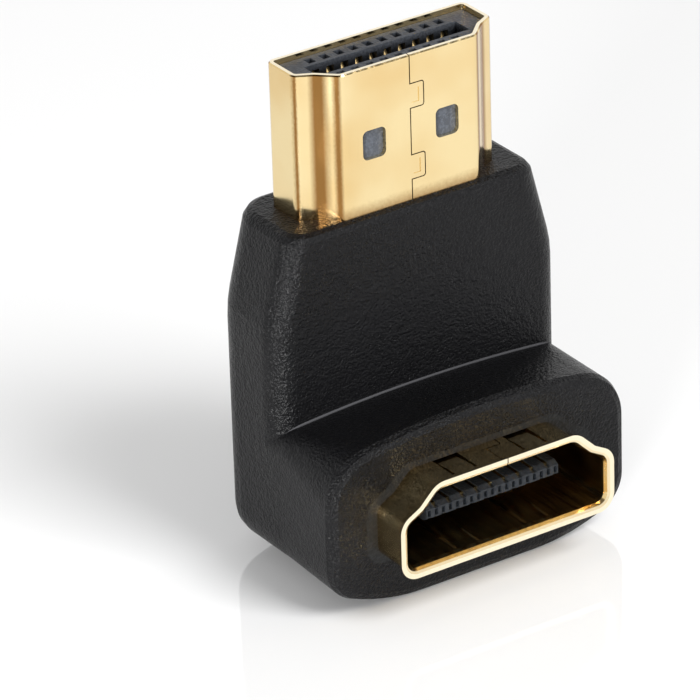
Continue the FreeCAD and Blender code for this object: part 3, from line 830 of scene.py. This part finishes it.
def make_crease_fillet(shape, material):
    """Moulded fillet in the crease: a hollow quarter round swept along the leg's foot.

    At turn t of the quarter round it stands radius * (1 - cos t) in front of the leg
    and radius * (1 - sin t) above the lower leg. The radius runs out at both ends as
    the root of 1 less a high power of the distance from the middle. The last two
    points of each loop lie inside the body and close it there.
    """
    x, y, outward_x, outward_y, share = crease_path(shape)
    run_out = np.sqrt(np.clip(1.0 - share ** RUN_OUT_POWER, 0.0, 1.0))
    radius = (shape.fillet_radius * run_out + END_RADIUS)[:, None]
    turn = np.linspace(0.0, math.pi / 2, ROUND_POINTS)
    buried = np.full_like(radius, -shape.fillet_radius / 2)
    out = np.concatenate([radius * (1.0 - np.cos(turn)), -buried * 2, buried], axis=1)
    up = np.concatenate([radius * (1.0 - np.sin(turn)), buried, buried], axis=1)
    rise = shape.top_slope * np.clip(out, 0.0, None) * -outward_y[:, None]
    loops = np.stack([
        x[:, None] + outward_x[:, None] * out,
        y[:, None] + outward_y[:, None] * out,
        lower_top(shape, x)[:, None] + up + rise,
    ], axis=-1)
    return tube_piece("crease_fillet", loops[:, ::-1], material)


class ADAPTER_OT_fillet(bpy.types.Operator):
    """Make the moulded fillet between the two legs of the body"""

    bl_idname = "adapter.fillet"
    bl_label = "Crease fillet"

    def execute(self, context):
        material = bpy.data.materials.get("body_plastic")
        if material is None:
            raise RuntimeError("the mouldings are finished before the fillet is made")
        make_crease_fillet(context.scene.adapter_shape, material)
        return {"FINISHED"}


def make_floor(context, stage):
    """Plain pale floor under the adapter."""
    half = stage.floor_size / 2
    corners = [(-half, -half, 0.0), (half, -half, 0.0), (half, half, 0.0), (-half, half, 0.0)]
    mesh = bpy.data.meshes.new("floor")
    mesh.from_pydata(corners, [], [(0, 1, 2, 3)])
    material, tree, shader = new_material("pale_floor")
    feed(tree, shader.inputs["Base Color"], (*stage.floor_colour, 1.0))
    feed(tree, shader.inputs["Roughness"], FLOOR_ROUGHNESS)
    feed(tree, shader.inputs["Specular IOR Level"], FLOOR_SPECULAR)
    mesh.materials.append(material)
    floor = bpy.data.objects.new("floor", mesh)
    context.scene.collection.objects.link(floor)


def make_world(context, stage):
    """World: white to the camera, and in reflections white low down and dimmer overhead."""
    world = bpy.data.worlds.new("studio")
    context.scene.world = world
    world.use_nodes = True
    tree = world.node_tree
    rays = tree.nodes.new("ShaderNodeLightPath").outputs
    clear = math_node(tree, "MAXIMUM", rays["Is Camera Ray"], rays["Is Transmission Ray"])
    height = split(tree, coordinates(tree)["Generated"])["Z"]
    overhead = map_range(tree, height, OVERHEAD_LIMITS, (1.0, stage.room_reflection))
    mirrored = map_range(tree, rays["Is Glossy Ray"], GROW, (stage.room_light, overhead))
    background = tree.nodes["Background"]
    feed(tree, background.inputs["Color"], (1.0, 1.0, 1.0, 1.0))
    feed(tree, background.inputs["Strength"], math_node(tree, "MAXIMUM", clear, mirrored))


def make_lamp(context, name, place, size, power):
    """Square lamp at a place, turned towards the adapter."""
    data = bpy.data.lights.new(name, "AREA")
    data.size = size
    data.energy = power
    lamp = bpy.data.objects.new(name, data)
    lamp.location = place
    aim = Vector(LAMP_AIM) - Vector(place)
    lamp.rotation_euler = aim.to_track_quat("-Z", "Y").to_euler()
    context.scene.collection.objects.link(lamp)


def make_camera(context, stage):
    """Camera at the photograph's angle, from the aim, the angles and the distance."""
    azimuth, elevation, roll = stage.azimuth, stage.elevation, stage.roll
    back = Vector((
        math.sin(azimuth) * math.cos(elevation),
        -math.cos(azimuth) * math.cos(elevation),
        math.sin(elevation),
    ))
    level = Vector((math.cos(azimuth), math.sin(azimuth), 0.0))
    above = back.cross(level)
    right = level * math.cos(roll) + above * math.sin(roll)
    up = above * math.cos(roll) - level * math.sin(roll)
    place = Vector(stage.aim) + back * stage.distance + right * stage.sideways + up * stage.upwards
    data = bpy.data.cameras.new("camera")
    data.sensor_width = SENSOR_WIDTH
    data.lens = stage.lens
    data.clip_start = NEAREST
    data.clip_end = FARTHEST
    camera = bpy.data.objects.new("camera", data)
    context.scene.collection.objects.link(camera)
    turn = Matrix((right, up, back)).transposed().to_4x4()
    camera.matrix_world = Matrix.Translation(place) @ turn
    context.scene.camera = camera
    context.scene.view_settings.view_transform = "Standard"


class ADAPTER_OT_stage(bpy.types.Operator):
    """Make the floor, the lamps, the world and the camera"""

    bl_idname = "adapter.stage"
    bl_label = "Stage"

    def execute(self, context):
        stage = context.scene.adapter_stage
        make_floor(context, stage)
        make_world(context, stage)
        make_lamp(context, "key_lamp", KEY_PLACE, KEY_SIZE, stage.key_power)
        make_lamp(context, "edge_lamp", EDGE_PLACE, EDGE_SIZE, stage.edge_power)
        make_camera(context, stage)
        return {"FINISHED"}


class ADAPTER_PT_panel(bpy.types.Panel):
    """Panel that lists the adapter's makers and settings"""

    bl_label = "Video adapter"
    bl_idname = "ADAPTER_PT_panel"
    bl_space_type = "VIEW_3D"
    bl_region_type = "UI"
    bl_category = "Adapter"

    def draw(self, context):
        layout = self.layout
        for operator in OPERATORS:
            layout.operator(operator.bl_idname)
        scene = context.scene
        for settings in (scene.adapter_finish, scene.adapter_shape, scene.adapter_stage):
            for name in settings.__annotations__:
                layout.prop(settings, name)


OPERATORS = (
    ADAPTER_OT_mouldings,
    ADAPTER_OT_board,
    ADAPTER_OT_housings,
    ADAPTER_OT_shells,
    ADAPTER_OT_contacts,
    ADAPTER_OT_fillet,
    ADAPTER_OT_stage,
)
CLASSES = (AdapterFinish, AdapterShape, AdapterStage, *OPERATORS, ADAPTER_PT_panel)


def register():
    """Register the settings, the operators and the panel."""
    for item in CLASSES:
        bpy.utils.register_class(item)
    bpy.types.Scene.adapter_finish = bpy.props.PointerProperty(type=AdapterFinish)
    bpy.types.Scene.adapter_shape = bpy.props.PointerProperty(type=AdapterShape)
    bpy.types.Scene.adapter_stage = bpy.props.PointerProperty(type=AdapterStage)


def unregister():
    """Take away what register added, in reverse."""
    del bpy.types.Scene.adapter_stage
    del bpy.types.Scene.adapter_shape
    del bpy.types.Scene.adapter_finish
    for item in reversed(CLASSES):
        bpy.utils.unregister_class(item)


def main():
    """Dress the adapter and set the stage."""
    register()
    bpy.ops.adapter.mouldings()
    bpy.ops.adapter.board()
    bpy.ops.adapter.housings()
    bpy.ops.adapter.shells()
    bpy.ops.adapter.contacts()
    bpy.ops.adapter.fillet()
    bpy.ops.adapter.stage()


if __name__ == "__main__":
    main()
